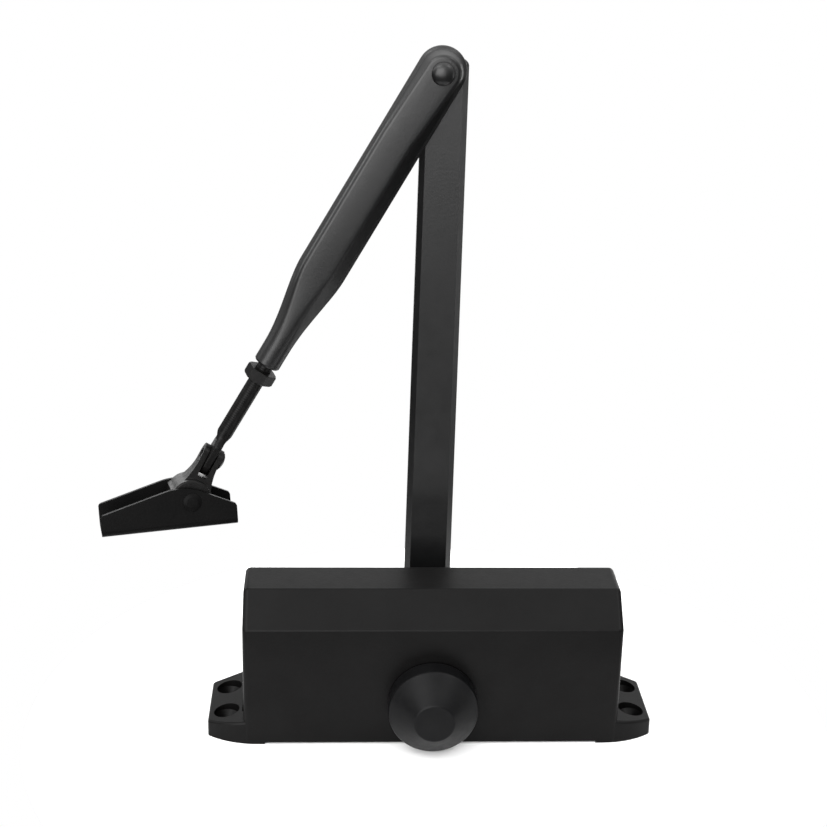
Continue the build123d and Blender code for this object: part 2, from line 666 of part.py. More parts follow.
def socket_section(count):
    """Points round half of the socket, as many as the half section has."""
    points = []
    for i in range(count):
        angle = radians(-67.5 + 135.0 * i / (count - 1))
        points.append((SOCKET_R * cos(angle), FOREARM_MID_Y + SOCKET_R * sin(angle)))
    return points


def tapered_section(share):
    """The half section part of the way from the full width (0) to the round socket (1)."""
    wide = forearm_half_section(FOREARM_HALF)
    eased = share * share * (3 - 2 * share)
    pairs = zip(wide, socket_section(len(wide)))
    return [(a[0] + (b[0] - a[0]) * eased, a[1] + (b[1] - a[1]) * eased) for a, b in pairs]


def full_section(half, z):
    """A closed section face at height z from the points of its right half."""
    left = [(-x, y) for x, y in reversed(half)]
    return Pos(0, 0, z) * make_face(Polyline(*(half + left), close=True))


def forearm():
    """Crowned shell from the elbow eye down to the round socket of the adjusting rod."""
    at_eye = forearm_half_section(FOREARM_EYE_R)
    front, back = FOREARM_Y
    wide = full_section(forearm_half_section(FOREARM_HALF), -FOREARM_STRAIGHT)
    shell = loft([full_section(at_eye, 0), wide], ruled=True)
    eye = turned_y([(0, front)] + at_eye + [(0, back)])
    eye &= block((-20, 20), (front - 1, back + 1), (0, 20))
    shell += eye + rod_y(RIVET_SEAT_R, front, front + 3.0)
    length = FOREARM_TAPER_END - FOREARM_STRAIGHT
    for i in range(FOREARM_TAPER_STEPS):
        start, end = i / FOREARM_TAPER_STEPS, (i + 1) / FOREARM_TAPER_STEPS
        upper = full_section(tapered_section(start), -FOREARM_STRAIGHT - length * start)
        lower = full_section(tapered_section(end), -FOREARM_STRAIGHT - length * end)
        shell += loft([upper, lower], ruled=True)
    socket = rod_z(SOCKET_R, -FOREARM_END, -FOREARM_TAPER_END + 6, y=FOREARM_MID_Y)
    shell += chamfer(socket.edges().group_by(Axis.Z)[0], 0.5)
    shell -= rod_z(ROD_R + FIT, -FOREARM_END - 1, -80.0, y=FOREARM_MID_Y)
    shell -= rod_y(RIVET_R + FIT, front - 1, back + 1)
    return AT_FOREARM * shell


def adjusting_rod():
    """Threaded rod whose end is flattened into an eye."""
    rod = rod_z(ROD_R, -ROD_FLAT_START - 1.5, -ROD_START)
    rod = chamfer(rod.edges().group_by(Axis.Z)[-1], 0.6)
    round_at = -CROSS_PIN_AT - TONGUE_REACH + TONGUE_R
    flat = make_face(Polyline(
        (-ROD_R + 0.4, -ROD_FLAT_START + 2.0), (ROD_R - 0.4, -ROD_FLAT_START + 2.0),
        (TONGUE_R, -ROD_FLAT_START - 4.0), (TONGUE_R, round_at), (-TONGUE_R, round_at),
        (-TONGUE_R, -ROD_FLAT_START - 4.0), close=True))
    flat += Pos(0, round_at) * Circle(TONGUE_R)
    rod += Rot(0, 0, 90) * prism_y(flat, -TONGUE_HALF, TONGUE_HALF)
    rod -= rod_x(CROSS_PIN_R + FIT, -10, 10, z=-CROSS_PIN_AT)
    return AT_ROD * rod


def lock_nut():
    """Hexagon nut with chamfered corners, on the rod just below the socket."""
    nut = hexagon_rod(NUT_FLATS, NUT_THICK)
    corner = NUT_FLATS / sqrt(3)
    rounder = Cylinder(corner, NUT_THICK)
    rounder = chamfer(rounder.edges().filter_by(GeomType.CIRCLE), NUT_CHAMFER)
    nut &= rounder
    nut -= Cylinder(ROD_R + FIT, NUT_THICK + 2)
    return AT_FOREARM * Pos(0, FOREARM_MID_Y, -NUT_AT) * Rot(0, 0, NUT_TURN) * nut


# ---------------------------------------------------------------- knuckle and shoe

def knuckle():
    """Barrel on the shoe pin with a fork above it for the rod's eye."""
    drop = KNUCKLE_DROP
    waist_z = -drop + FORK_WAIST_HEIGHT
    flank = make_face([
        Line((-FOOT_HALF, -drop), (FOOT_HALF, -drop)),
        ThreePointArc((FOOT_HALF, -drop), (FORK_WAIST, waist_z), (FORK_HALF, FORK_STRAIGHT_Z)),
        Line((FORK_HALF, FORK_STRAIGHT_Z), (FORK_HALF, FORK_DEPTH_HALF)),
        Line((FORK_HALF, FORK_DEPTH_HALF), (-FORK_HALF, FORK_DEPTH_HALF)),
        Line((-FORK_HALF, FORK_DEPTH_HALF), (-FORK_HALF, FORK_STRAIGHT_Z)),
        ThreePointArc((-FORK_HALF, FORK_STRAIGHT_Z), (-FORK_WAIST, waist_z), (-FOOT_HALF, -drop)),
    ])
    fork = prism_y(flank, -BARREL_HALF, BARREL_HALF)
    depth = FORK_DEPTH_HALF
    side = make_face([
        Line((-BARREL_HALF, -drop), (BARREL_HALF, -drop)),
        ThreePointArc((BARREL_HALF, -drop), (depth + FORK_WAIST_SPREAD, waist_z), (depth, 0)),
        ThreePointArc((depth, 0), (0, depth), (-depth, 0)),
        ThreePointArc((-depth, 0), (-depth - FORK_WAIST_SPREAD, waist_z), (-BARREL_HALF, -drop)),
    ])
    fork &= Rot(0, 0, 90) * prism_y(side, -FOOT_HALF, FOOT_HALF)
    barrel = rod_y(BARREL_R, -BARREL_HALF, BARREL_HALF, z=-drop)
    barrel = chamfer(barrel.edges().filter_by(GeomType.CIRCLE), 0.6)
    solid = fork + barrel
    slot = block((-SLOT_HALF, SLOT_HALF), (-20, 20), (-drop + SLOT_FLOOR, 20))
    solid -= fillet(slot.edges().filter_by(Axis.Y).group_by(Axis.Z)[0], SLOT_ROUND)
    solid -= rod_x(CROSS_PIN_R + SNUG, -20, 20)
    solid -= rod_y(SHOE_PIN_R + FIT, -20, 20, z=-drop)
    return AT_CROSS_PIN * solid


def cross_pin():
    """Pin through the fork and the rod's eye, with a round head on one side."""
    face = FORK_HALF + SNUG
    end = face + CROSS_HEAD_HEIGHT
    pin = turned_x([
        (-face + 0.6, 0), (-face + 0.6, CROSS_PIN_R - 0.4), (-face + 1.0, CROSS_PIN_R),
        (face, CROSS_PIN_R), (face, CROSS_HEAD_R), (face + 0.6, CROSS_HEAD_R),
        (end - 0.3, CROSS_HEAD_R - 1.2), (end, CROSS_HEAD_R - 2.2), (end, 0)])
    return AT_CROSS_PIN * pin


def shoe():
    """Channel bracket: a flat web with two screw holes between two peaked flanges."""
    bottom = -SHOE_DROP
    side = make_face(Polyline(
        (-SHOE_LEFT, bottom), (SHOE_RIGHT, bottom), (SHOE_RIGHT, bottom + SHOE_RIGHT_HEIGHT),
        (SHOE_PEAK[0], bottom + SHOE_PEAK[1]), (-SHOE_LEFT, bottom + SHOE_LEFT_HEIGHT), close=True))
    ends = [v for v in side.vertices() if v.Y < 0 and v.Y > bottom + 1]
    side = fillet(ends, SHOE_CORNER_ROUND)
    side = fillet(side.vertices().group_by(Axis.Y)[-1], SHOE_PEAK_ROUND)
    blank = prism_y(side, -SHOE_HALF, SHOE_HALF)
    long_edges = [e for e in blank.edges().filter_by(Axis.X) if e.center().Z < bottom + 0.1]
    blank = fillet(long_edges, SHOE_BEND_OUTER)
    inner = SHOE_HALF - SHOE_SHEET
    hollow = block((-SHOE_LEFT - 1, SHOE_RIGHT + 1), (-inner, inner), (bottom + SHOE_SHEET, 20))
    floor_edges = [e for e in hollow.edges().filter_by(Axis.X) if e.center().Z < 0]
    hollow = fillet(floor_edges, SHOE_BEND_INNER)
    solid = blank - hollow
    for x in SHOE_HOLE_X:
        sink = SHOE_HOLE_HEAD_R - SHOE_HOLE_R
        top = bottom + SHOE_SHEET
        solid -= rod_z(SHOE_HOLE_R, bottom - 1, top + 1, x=x)
        solid -= Pos(x, 0, top - sink / 2) * Cone(SHOE_HOLE_R, SHOE_HOLE_HEAD_R, sink)
    solid -= rod_y(SHOE_PIN_R + SNUG, -20, 20)
    return AT_SHOE * solid


def shoe_pin():
    """The pin through the shoe and the knuckle's barrel, with a low head at both ends."""
    face = SHOE_HALF + SNUG
    head = SHOE_PIN_HEAD_R
    top = face + SHOE_PIN_HEAD
    pin = turned_y([
        (0, -top), (head - 1.6, -top), (head, -face - 0.2), (head, -face),
        (SHOE_PIN_R, -face), (SHOE_PIN_R, face), (head, face), (head, face + 0.2),
        (head - 1.6, top), (0, top)])
    return AT_SHOE * pin


# ---------------------------------------------------------------- all parts

PARTS = {
    "body_casting": body_casting(),
    "spring_end_plug": end_plug(-1),
    "valve_end_plug": end_plug(1),
    "spring_plug_ring": plug_ring(-1),
    "valve_plug_ring": plug_ring(1),
    "front_bearing": bearing(-1),
    "rear_bearing": bearing(1),
    "front_seal": seal(-1),
    "rear_seal": seal(1),
    "cap_carrier": cap_carrier(),
    "rear_cover_ring": rear_cover_ring(),
    "pinion_cap": pinion_cap(),
    "main_spring": main_spring(),
    "sweep_valve": valve_screw(-VALVE_Y),
    "latch_valve": valve_screw(VALVE_Y),
    "sweep_valve_ring": valve_ring(-VALVE_Y),
    "latch_valve_ring": valve_ring(VALVE_Y),
    "pinion_shaft": pinion_shaft(),
    "piston": piston(),
    "check_ball": check_ball(),
    "check_retainer": check_retainer(),
    "main_arm": main_arm(),
    "arm_washer": arm_washer(),
    "arm_screw": arm_screw(),
    "elbow_rivet": elbow_rivet(),
    "elbow_washer": elbow_washer(),
    "forearm": forearm(),
    "adjusting_rod": adjusting_rod(),
    "lock_nut": lock_nut(),
    "knuckle": knuckle(),
    "cross_pin": cross_pin(),
    "shoe": shoe(),
    "shoe_pin": shoe_pin(),
}

os.makedirs("parts", exist_ok=True)
for name, solid in PARTS.items():
    export_step(solid, f"parts/{name}.step")
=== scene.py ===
import json
from math import copysign, cos, pi, radians, sin, tan

import bmesh
import bpy
from mathutils import Matrix, Vector


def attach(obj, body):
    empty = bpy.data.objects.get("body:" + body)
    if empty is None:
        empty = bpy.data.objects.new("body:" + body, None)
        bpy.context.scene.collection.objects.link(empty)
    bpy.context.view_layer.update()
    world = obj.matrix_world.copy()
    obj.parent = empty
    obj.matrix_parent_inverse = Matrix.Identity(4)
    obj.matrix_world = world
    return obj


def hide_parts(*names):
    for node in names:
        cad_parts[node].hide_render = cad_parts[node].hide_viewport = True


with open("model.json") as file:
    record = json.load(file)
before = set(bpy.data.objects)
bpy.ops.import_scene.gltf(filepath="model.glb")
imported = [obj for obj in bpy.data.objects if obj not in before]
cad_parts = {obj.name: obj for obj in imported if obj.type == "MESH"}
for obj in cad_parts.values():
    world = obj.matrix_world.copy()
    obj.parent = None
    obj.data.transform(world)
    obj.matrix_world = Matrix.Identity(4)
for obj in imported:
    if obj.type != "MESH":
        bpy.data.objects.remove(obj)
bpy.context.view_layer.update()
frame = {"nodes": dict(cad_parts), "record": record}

NODES = frame["nodes"]
SCENE = bpy.context.scene
MM = 0.001


# ---------------------------------------------------------------- camera

CAMERA_AT = Vector((-0.03982, -0.5840, 0.34656))
CAMERA_TURN = radians(3.01)  # towards +X
CAMERA_PITCH = radians(19.98)  # down
CAMERA_ROLL = radians(1.37)
CAMERA_LENS = 69.65
SENSOR = 36.0


def make_camera():
    """The camera, from its place and three angles."""
    turn, pitch, roll = CAMERA_TURN, CAMERA_PITCH, CAMERA_ROLL
    forward = Vector((sin(turn) * cos(pitch), cos(turn) * cos(pitch), -sin(pitch)))
    level = Vector((cos(turn), -sin(turn), 0))
    upright = level.cross(forward)
    right = level * cos(roll) + upright * sin(roll)
    up = upright * cos(roll) - level * sin(roll)
    data = bpy.data.cameras.new("camera")
    data.sensor_width = SENSOR
    data.lens = CAMERA_LENS
    camera = bpy.data.objects.new("camera", data)
    axes = Matrix((right, up, -forward)).transposed()
    camera.matrix_world = Matrix.Translation(CAMERA_AT) @ axes.to_4x4()
    SCENE.collection.objects.link(camera)
    SCENE.camera = camera


# ---------------------------------------------------------------- material helpers

def start(name, roughness, specular, metallic=0.0):
    """A new material with plain values, as (material, node tree, shader)."""
    material = bpy.data.materials.new(name)
    material.use_nodes = True
    shader = material.node_tree.nodes["Principled BSDF"]
    shader.inputs["Roughness"].default_value = roughness
    shader.inputs["Specular IOR Level"].default_value = specular
    shader.inputs["Metallic"].default_value = metallic
    return material, material.node_tree, shader


def grain(tree, size, stretch=(1, 1, 1), detail=2.0):
    """Noise whose spots are about the given size in millimetres, stretched along any axis."""
    place = tree.nodes.new("ShaderNodeTexCoord")
    scale = tree.nodes.new("ShaderNodeMapping")
    scale.inputs["Scale"].default_value = [1 / s for s in stretch]
    noise = tree.nodes.new("ShaderNodeTexNoise")
    noise.inputs["Scale"].default_value = 1 / (size * MM)
    noise.inputs["Detail"].default_value = detail
    tree.links.new(place.outputs["Object"], scale.inputs["Vector"])
    tree.links.new(scale.outputs["Vector"], noise.inputs["Vector"])
    return noise.outputs["Fac"]


def spread(tree, factor, low, high, start_at=0.32, end_at=0.68):
    """A value spread over a new range; noise mostly lies between 0.32 and 0.68."""
    node = tree.nodes.new("ShaderNodeMapRange")
    node.inputs["From Min"].default_value = start_at
    node.inputs["From Max"].default_value = end_at
    node.inputs["To Min"].default_value = low
    node.inputs["To Max"].default_value = high
    tree.links.new(factor, node.inputs["Value"])
    return node.outputs["Result"]


def blend_colours(tree, factor, dark, light):
    """A colour between two, each a tuple or another node's output."""
    node = tree.nodes.new("ShaderNodeMix")
    node.data_type = "RGBA"
    tree.links.new(factor, node.inputs["Factor"])
    for socket, colour in ((node.inputs[6], dark), (node.inputs[7], light)):
        if isinstance(colour, tuple):
            socket.default_value = (*colour, 1)
        else:
            tree.links.new(colour, socket)
    return node.outputs[2]


def relief(tree, shader, *layers):
    """Bumps on the surface from (noise, height in millimetres, strength) layers."""
    below = None
    for factor, height, strength in layers:
        bump = tree.nodes.new("ShaderNodeBump")
        bump.inputs["Strength"].default_value = strength
        bump.inputs["Distance"].default_value = height * MM
        tree.links.new(factor, bump.inputs["Height"])
        if below:
            tree.links.new(below, bump.inputs["Normal"])
        below = bump.outputs["Normal"]
    tree.links.new(below, shader.inputs["Normal"])


# ---------------------------------------------------------------- materials

SPECK_BRIGHTER = 1.7  # how much lighter the specks in the paint are than the paint


def powder_coat(name, dark, light, specular, smooth, rough):
    """Satin black powder coat: fine orange peel, cloudy gloss and small specks."""
    material, tree, shader = start(name, smooth, specular)
    cloud = grain(tree, 16.0, detail=3.0)
    peel = grain(tree, 1.1)
    speck = grain(tree, 0.32)
    tone = blend_colours(tree, spread(tree, cloud, 0, 1), dark, light)
    pale = tuple(c * SPECK_BRIGHTER for c in light)
    tone = blend_colours(tree, spread(tree, speck, 0, 0.8, 0.58, 0.78), tone, pale)
    tree.links.new(tone, shader.inputs["Base Color"])
    tree.links.new(spread(tree, grain(tree, 4.5, detail=4.0), smooth, rough), shader.inputs["Roughness"])
    relief(tree, shader, (peel, 0.10, 0.30), (speck, 0.04, 0.30))
    return material


def moulded_plastic():
    """Black moulded plastic with a faint eroded grain."""
    material, tree, shader = start("cap_plastic", 0.33, 0.070)
    cloud = grain(tree, 9.0, detail=3.0)
    fine = grain(tree, 0.28)
    tone = blend_colours(tree, spread(tree, cloud, 0, 1), (0.0024, 0.0024, 0.0026), (0.0036, 0.0036, 0.0038))
    tree.links.new(tone, shader.inputs["Base Color"])
    tree.links.new(spread(tree, grain(tree, 2.4), 0.31, 0.39), shader.inputs["Roughness"])
    relief(tree, shader, (grain(tree, 1.6), 0.06, 0.2), (fine, 0.03, 0.3))
    return material


def blackened_steel():
    """Small steel parts with a thin black finish and handling marks."""
    material, tree, shader = start("black_steel", 0.34, 0.085)
    cloud = grain(tree, 3.5, detail=4.0)
    marks = grain(tree, 0.5, stretch=(1, 1, 7))
    tone = blend_colours(tree, spread(tree, cloud, 0, 1), (0.0022, 0.0021, 0.0021), (0.0040, 0.0038, 0.0037))
    tone = blend_colours(tree, spread(tree, marks, 0, 0.7, 0.6, 0.8), tone, (0.009, 0.0085, 0.008))
    tree.links.new(tone, shader.inputs["Base Color"])
    tree.links.new(spread(tree, grain(tree, 1.5), 0.28, 0.40), shader.inputs["Roughness"])
    relief(tree, shader, (cloud, 0.08, 0.25), (grain(tree, 0.3), 0.03, 0.3))
    return material


def bare_metal(name, dark, light, smooth, rough, mark, stretch, height):
    """Machined metal: fine tool marks stretched one way, and cloudy stains."""
    material, tree, shader = start(name, smooth, 0.5, metallic=1.0)
    cloud = grain(tree, 8.0, detail=4.0)
    lines = grain(tree, mark, stretch=stretch)
    tone = blend_colours(tree, spread(tree, cloud, 0, 1), dark, light)
    tree.links.new(tone, shader.inputs["Base Color"])
    tree.links.new(spread(tree, lines, smooth, rough), shader.inputs["Roughness"])
    relief(tree, shader, (lines, height, 0.4))
    return material


def rubber():
    """Matt black rubber with a dusty surface."""
    material, tree, shader = start("rubber", 0.7, 0.3)
    cloud = grain(tree, 2.0, detail=3.0)
    tone = blend_colours(tree, spread(tree, cloud, 0, 1), (0.010, 0.010, 0.010), (0.024, 0.023, 0.022))
    tree.links.new(tone, shader.inputs["Base Color"])
    tree.links.new(spread(tree, grain(tree, 0.8), 0.62, 0.80), shader.inputs["Roughness"])
    relief(tree, shader, (grain(tree, 0.4), 0.04, 0.4))
    return material


def make_materials():
    """One material for each of the record's slots, and a duller black for the shoe."""
    return {
        "body_paint": powder_coat(
            "body_paint", (0.0020, 0.0019, 0.0019), (0.0028, 0.0027, 0.0027), 0.070, 0.34, 0.39),
        "arm_paint": powder_coat(
            "arm_paint", (0.0022, 0.0022, 0.0023), (0.0032, 0.0032, 0.0033), 0.34, 0.33, 0.37),
        "shoe_paint": powder_coat(
            "shoe_paint", (0.0018, 0.0018, 0.0018), (0.0026, 0.0025, 0.0025), 0.035, 0.36, 0.44),
        "cap_plastic": moulded_plastic(),
        "black_steel": blackened_steel(),
        "bright_steel": bare_metal(
            "bright_steel", (0.42, 0.42, 0.43), (0.60, 0.60, 0.61), 0.20, 0.36, 0.4, (1, 12, 1), 0.02),
        "iron": bare_metal(
            "iron", (0.13, 0.13, 0.135), (0.22, 0.22, 0.225), 0.35, 0.55, 0.5, (14, 1, 1), 0.03),
        "bronze": bare_metal(
            "bronze", (0.42, 0.26, 0.11), (0.60, 0.40, 0.19), 0.26, 0.42, 0.5, (1, 10, 1), 0.03),
        "rubber": rubber(),
    }


# ---------------------------------------------------------------- mesh helpers

SHARP_ANGLE = radians(38)  # edges that turn more than this stay crisp


def new_piece(name, mesh, body, material, replaces=()):
    """Finishes a piece that moves with a body and wears a material."""
    bmesh.ops.recalc_face_normals(mesh, faces=mesh.faces)
    data = bpy.data.meshes.new(name)
    mesh.to_mesh(data)
    mesh.free()
    piece = bpy.data.objects.new(name, data)
    SCENE.collection.objects.link(piece)
    piece.data.materials.append(material)
    for face in data.polygons:
        face.use_smooth = True
    data.set_sharp_from_angle(angle=SHARP_ANGLE)
    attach(piece, body)
    if replaces:
        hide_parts(*replaces)


def between(start_value, end_value, share):
    """The value at a share of the way from one number to another."""
    return start_value + (end_value - start_value) * share


def gentle(share):
    """A share from 0 to 1 that starts and ends gently."""
    return share * share * (3 - 2 * share)


NEARLY_HALF = 0.48  # share of a side that a curve at one of its ends may use


def rounded(points, radius, steps=5):
    """An open outline with a short curve at each inner corner, as near the radius as it can be."""
    result = [Vector(points[0])]
    for before, corner, after in zip(points, points[1:], points[2:]):
        corner = Vector(corner)
        to_before = Vector(before) - corner
        to_after = Vector(after) - corner
        angle = to_before.angle(to_after)
        longest = min(to_before.length, to_after.length) * NEARLY_HALF
        reach = min(radius / tan(angle / 2), longest)
        first = corner + to_before.normalized() * reach
        last = corner + to_after.normalized() * reach
        for i in range(steps + 1):
            t = i / steps
            result.append(first * (1 - t) ** 2 + corner * 2 * t * (1 - t) + last * t * t)
    result.append(Vector(points[-1]))
    return result


def turned(mesh, outline, place, turns=72):
    """Adds a solid of revolution about the local Z axis, from (radius, z) points in millimetres."""
    rings = []
    for radius, height in outline:
        if radius == 0:
            rings.append([mesh.verts.new(place @ Vector((0, 0, height * MM)))])
            continue
        ring = []
        for i in range(turns):
            a = 2 * pi * i / turns
            ring.append(mesh.verts.new(place @ (Vector((radius * cos(a), radius * sin(a), height)) * MM)))
        rings.append(ring)
    for lower, upper in zip(rings, rings[1:]):
        join_rings(mesh, lower, upper)


def join_rings(mesh, lower, upper):
    """Faces between two closed rings; one of them may be a single point."""
    count = max(len(lower), len(upper))
    for i in range(count):
        j = (i + 1) % count
        if len(lower) == 1:
            mesh.faces.new((lower[0], upper[i], upper[j]))
        elif len(upper) == 1:
            mesh.faces.new((lower[i], lower[j], upper[0]))
        else:
            mesh.faces.new((lower[i], lower[j], upper[j], upper[i]))


# ---------------------------------------------------------------- dimensions shared with the CAD

PINION_Z = 19.5
ARM_LENGTH = 241.65
ARM_HOLE_X = -1.58
ARM_LEAN = radians(0.47)
FOREARM_ANGLE = radians(30.05)
FOREARM_FRONT = 24.5
FOREARM_BACK = 33.2
FOREARM_MID = (FOREARM_FRONT + FOREARM_BACK) / 2
FOREARM_EYE_R = 9.6
FOREARM_HALF = 9.8
FOREARM_STRAIGHT = 90.4
FOREARM_TAPER_END = 126.6
FOREARM_END = 134.9
SOCKET_R = 5.45
ROD_TURN = radians(3.6)

ELBOW = Vector((
    ARM_LENGTH * sin(ARM_LEAN) + ARM_HOLE_X * cos(ARM_LEAN), 0,
    PINION_Z + ARM_LENGTH * cos(ARM_LEAN) - ARM_HOLE_X * sin(ARM_LEAN))) * MM
AT_FOREARM = Matrix.Translation(ELBOW) @ Matrix.Rotation(FOREARM_ANGLE, 4, "Y")
TOWARDS_FRONT = Matrix.Rotation(radians(90), 4, "X")  # local +Z becomes -Y


# ---------------------------------------------------------------- pinion cap

CAP_R = 17.9
CAP_INNER_R = 15.6
CAP_FLAT_R = 7.8  # the flat end of the cone
CAP_INNER_FLAT_R = 7.4
CAP_BACK = 23.0  # distances in front of the pinion's middle
CAP_SHOULDER = 31.0
CAP_INNER_END = 38.2
CAP_FRONT = 40.0
CAP_ROUND = 1.6


def pinion_cap(material):
    """The conical cap with soft moulded corners."""
    mesh = bmesh.new()
    place = Matrix.Translation(Vector((0, 0, PINION_Z)) * MM) @ TOWARDS_FRONT
    inside = [(0, CAP_INNER_END), (CAP_INNER_FLAT_R, CAP_INNER_END), (CAP_INNER_R, CAP_SHOULDER)]
    outside = rounded([
        (CAP_INNER_R, CAP_BACK), (CAP_R, CAP_BACK), (CAP_R, CAP_SHOULDER),
        (CAP_FLAT_R, CAP_FRONT), (0, CAP_FRONT)], CAP_ROUND)
    turned(mesh, inside + outside, place, turns=128)
    new_piece("cap", mesh, "closer_body", material, ["pinion_cap"])


# ---------------------------------------------------------------- forearm

EYE_FACE = 6.8  # half width of the raised face round the eye
LEFT_FACE = 8.5  # the same down the straight length, left and right of the middle
RIGHT_FACE = 3.9
LEFT_TIP = 5.5  # the same where the taper meets the socket
RIGHT_TIP = 0.5
FACE_SPREADS_BY = 1 / 3  # share of the straight length over which the eye's face becomes the arm's
CROWN = 0.12  # how much the middle of the raised face stands out
CROWN_FLAT = 0.35  # share of the raised face that is flat
FLANGE = 1.2  # how far the small flange stands out from the foot of the slope
FLANGE_FOOT = 2.1  # heights above the back face
FLANGE_TOP = 1.5
FLANGE_LOW = 0.1
FLANGE_BEVEL = 0.5
RIDGE_ROUND = 1.7
STRAIGHT_STEPS = 12
TAPER_STEPS = 20
EYE_STEPS = 32
SOCKET_SEAM = radians(82)  # how far round from its side each half of the socket reaches
SOCKET_RINGS = (1.4, 0.9, 0.5)  # heights above its end, close together for even shading
SOCKET_END_SHARE = 0.93  # size of the end face against the socket


def forearm_profile(half, face):
    """Half of the crowned section, from the middle outwards, as (distance, y)."""
    front, back = FOREARM_FRONT, FOREARM_BACK
    return rounded([
        (face * CROWN_FLAT, front - CROWN), (face, front), (half - FLANGE, back - FLANGE_FOOT),
        (half, back - FLANGE_TOP), (half, back - FLANGE_LOW), (half - FLANGE_BEVEL, back),
    ], RIDGE_ROUND, steps=6)


def socket_profile(count):
    """As many points round half of the socket."""
    points = []
    for i in range(count):
        a = SOCKET_SEAM * (2 * i / (count - 1) - 1)
        points.append(Vector((SOCKET_R * cos(a), FOREARM_MID + SOCKET_R * sin(a))))
    return points


def straight_sections():
    """The sections from the eye down the straight length, as (z, left half, right half)."""
    sections = []
    for i in range(STRAIGHT_STEPS + 1):
        t = i / STRAIGHT_STEPS
        half = between(FOREARM_EYE_R, FOREARM_HALF, t)
        share = min(1, t / FACE_SPREADS_BY)
        left = forearm_profile(half, between(EYE_FACE, LEFT_FACE, share))
        right = forearm_profile(half, between(EYE_FACE, RIGHT_FACE, share))
        sections.append((-FOREARM_STRAIGHT * t, left, right))
    return sections


def taper_sections(narrow):
    """The sections from the straight length down to the socket, which has a narrow round profile."""
    sections = []
    for i in range(1, TAPER_STEPS + 1):
        t = i / TAPER_STEPS
        left = forearm_profile(FOREARM_HALF, between(LEFT_FACE, LEFT_TIP, t))
        right = forearm_profile(FOREARM_HALF, between(RIGHT_FACE, RIGHT_TIP, t))
        left, right = [[a.lerp(b, gentle(t)) for a, b in zip(wide, narrow)] for wide in (left, right)]
        sections.append((-between(FOREARM_STRAIGHT, FOREARM_TAPER_END, t), left, right))
    return sections


def socket_sections(narrow):
    """The sections at the socket's end, the last one a little smaller."""
    sections = [(-FOREARM_END + height, narrow, narrow) for height in SOCKET_RINGS]
    middle = Vector((0, FOREARM_MID))
    small = [middle.lerp(point, SOCKET_END_SHARE) for point in narrow]
    sections.append((-FOREARM_END, small, small))
    return sections


def forearm(material):
    """Crowned shell: sections down to the socket, and the same half section turned round the eye."""
    mesh = bmesh.new()

    def vertex(x, y, z):
        return mesh.verts.new(AT_FOREARM @ (Vector((x, y, z)) * MM))

    sections = straight_sections()
    profile = sections[0][1]
    count = len(profile)
    narrow = socket_profile(count)
    sections += taper_sections(narrow) + socket_sections(narrow)
    rows = []
    for z, left, right in sections:
        right_side = [vertex(p.x, p.y, z) for p in right]
        left_side = [vertex(-p.x, p.y, z) for p in reversed(left)]
        rows.append(right_side + left_side)
    for upper, lower in zip(rows, rows[1:]):
        join_rings(mesh, upper, lower)
    mesh.faces.new(rows[-1])
    fans = [rows[0][:count]]
    for i in range(1, EYE_STEPS):
        a = pi * i / EYE_STEPS
        fans.append([vertex(p.x * cos(a), p.y, p.x * sin(a)) for p in profile])
    fans.append(list(reversed(rows[0][count:])))
    for first, second in zip(fans, fans[1:]):
        for j in range(count - 1):
            mesh.faces.new((first[j], first[j + 1], second[j + 1], second[j]))
    mesh.faces.new([fan[0] for fan in fans])
    mesh.faces.new([fan[-1] for fan in fans])
    new_piece("forearm_shell", mesh, "forearm", material, ["forearm"])


DOME_R = 4.5
DOME_EDGE_R = 4.45
DOME_EDGE = 0.35  # height of the straight edge under the dome
DOME_HEIGHT = 2.45
DOME_SEAT = 0.3  # how far in front of the forearm's face it starts
DOME_STEPS = 10


def elbow_dome(material):
    """The rivet's domed head on a short straight edge."""
    mesh = bmesh.new()
    place = Matrix.Translation(ELBOW) @ TOWARDS_FRONT
    seat = -FOREARM_FRONT + DOME_SEAT
    outline = [(DOME_EDGE_R, seat), (DOME_R, seat + DOME_EDGE)]
    for i in range(1, DOME_STEPS):
        a = radians(90) * i / DOME_STEPS
        outline.append((DOME_R * cos(a), seat + DOME_EDGE + DOME_HEIGHT * sin(a)))
    outline.append((0, seat + DOME_EDGE + DOME_HEIGHT))
    turned(mesh, outline, place)
    new_piece("rivet_head", mesh, "main_arm", material)


# ---------------------------------------------------------------- adjusting rod

ROD_R = 3.25
THREAD_PITCH = 1.0
THREAD_DEPTH = 0.022
THREAD_RUNOUT = 2.0  # length over which the thread fades
THREAD_STEP = THREAD_PITCH / 8
ROD_TOP = -98.0
THREAD_END = -168.55
FLAT_START = -168.95  # where the rod starts to get thinner
FLAT_LENGTH = 4.5  # length over which it does
WIDE_START = -170.45  # where it starts to get wider
WIDE_LENGTH = 5.0
CROSS_PIN_Z = -181.48
TONGUE_HALF = 1.85  # half the thickness of the flat end
TONGUE_R = 5.0
TONGUE_REACH = 8.0
TONGUE_TIP_HALF = 0.548  # half width left at the very tip
TONGUE_SQUARENESS = 0.62  # 0 is an oval section, 1 a rectangle
TONGUE_STEPS = 60
TONGUE_CROWDING = 1.6  # above 1, the sections crowd towards the tip
ROD_POINTS = 48  # round a section
ROD_AXIS = Matrix.Translation(Vector((0, FOREARM_MID, 0)) * MM)
AT_ROD = AT_FOREARM @ ROD_AXIS @ Matrix.Rotation(ROD_TURN, 4, "Z")


def flattened(z):
    """How far the rod is forged flat at a height, from 0 to 1."""
    return min(1, max(0, (FLAT_START - z) / FLAT_LENGTH))


